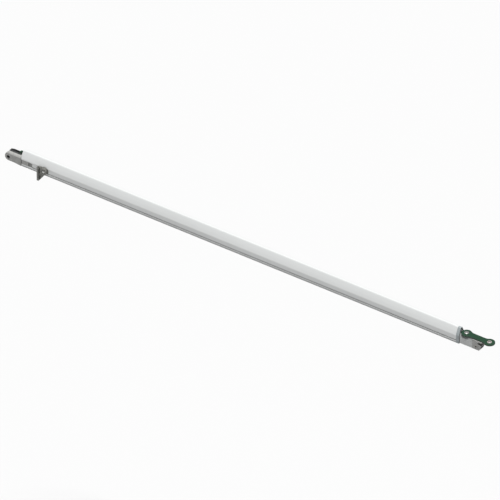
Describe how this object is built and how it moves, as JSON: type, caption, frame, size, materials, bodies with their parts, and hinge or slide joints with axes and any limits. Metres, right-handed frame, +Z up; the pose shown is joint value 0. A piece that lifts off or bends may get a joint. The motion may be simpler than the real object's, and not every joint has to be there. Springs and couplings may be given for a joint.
{
  "type": "telescoping awning rafter arm",
  "caption": "Long white telescoping arm for a concession awning, with a slotted pivot fork, a finger latch that grips the inner rail, and a swivelling link plate at the sliding end.",
  "frame": {"origin": "centre of the fork's pivot bore, midway between its cheeks", "axes": "+X along the arm from the fork to the link plate, +Y along the fork's pivot away from the latch side, +Z up through the rail's crown"},
  "size_m": [1.6997, 0.0409, 0.0687],
  "materials": {
    "rail_paint": "white powder coat on extruded aluminium",
    "cast_grey": "grey tumbled casting, matt",
    "black_nylon": "moulded black nylon",
    "bright_steel": "bright zinc plated steel",
    "green_paint": "dark green paint on steel plate",
    "collar_plastic": "moulded blue-grey plastic",
    "wiper_rubber": "black rubber",
    "dark_steel": "blackened steel",
    "rail_silver": "satin anodised extrusion",
    "latch_cast": "dark warm grey die casting",
    "liner_grey": "dark grey moulded liner",
    "bush_grey": "grey moulded bush"
  },
  "bodies": {
    "rail": {"outer_rail": "rail_paint", "fork_near": "cast_grey", "fork_far": "cast_grey", "fork_liners": "liner_grey", "fork_bushes": "liner_grey", "fork_rivets": "bright_steel", "tongue_plate": "green_paint", "tongue_pins": "cast_grey", "collar": "collar_plastic", "rail_wiper": "wiper_rubber", "collar_screw": "dark_steel", "latch_base": "latch_cast", "latch_rivets": "dark_steel", "latch_washer": "black_nylon"},
    "slider": {"inner_rail": "rail_silver", "guide_shoe": "black_nylon", "shoe_rivets": "bright_steel", "end_clevis": "cast_grey", "end_bumper": "wiper_rubber", "clevis_rivet": "bright_steel", "clevis_pins": "rail_silver", "link_rivet": "bright_steel", "link_washer": "black_nylon"},
    "link": {"end_link": "green_paint", "link_bush": "bush_grey"},
    "lever": {"latch_lever": "latch_cast"},
    "brake": {"latch_screw": "bright_steel", "brake_shoe": "dark_steel", "brake_pad": "wiper_rubber"}
  },
  "joints": [
    {"name": "inner_slide", "type": "slide", "parent": "rail", "child": "slider", "axis": [1, 0, 0], "range_m": [0, 0.75]},
    {"name": "link_swivel", "type": "hinge", "parent": "slider", "child": "link", "pos_m": [1.593, 0, 0.0223], "axis": [0, 0, 1], "range_deg": [-90, 90]},
    {"name": "latch_turn", "type": "hinge", "parent": "rail", "child": "lever", "pos_m": [0.1295, -0.02, 0.0035], "axis": [0, 1, 0], "range_deg": [0, 60]},
    {"name": "brake_slide", "type": "slide", "parent": "rail", "child": "brake", "axis": [0, -1, 0], "range_m": [0, 0.00121]}
  ],
  "couplings": [
    {"joint": "brake_slide", "follows": "latch_turn", "m_per_rad": 0.0011459}
  ]
}
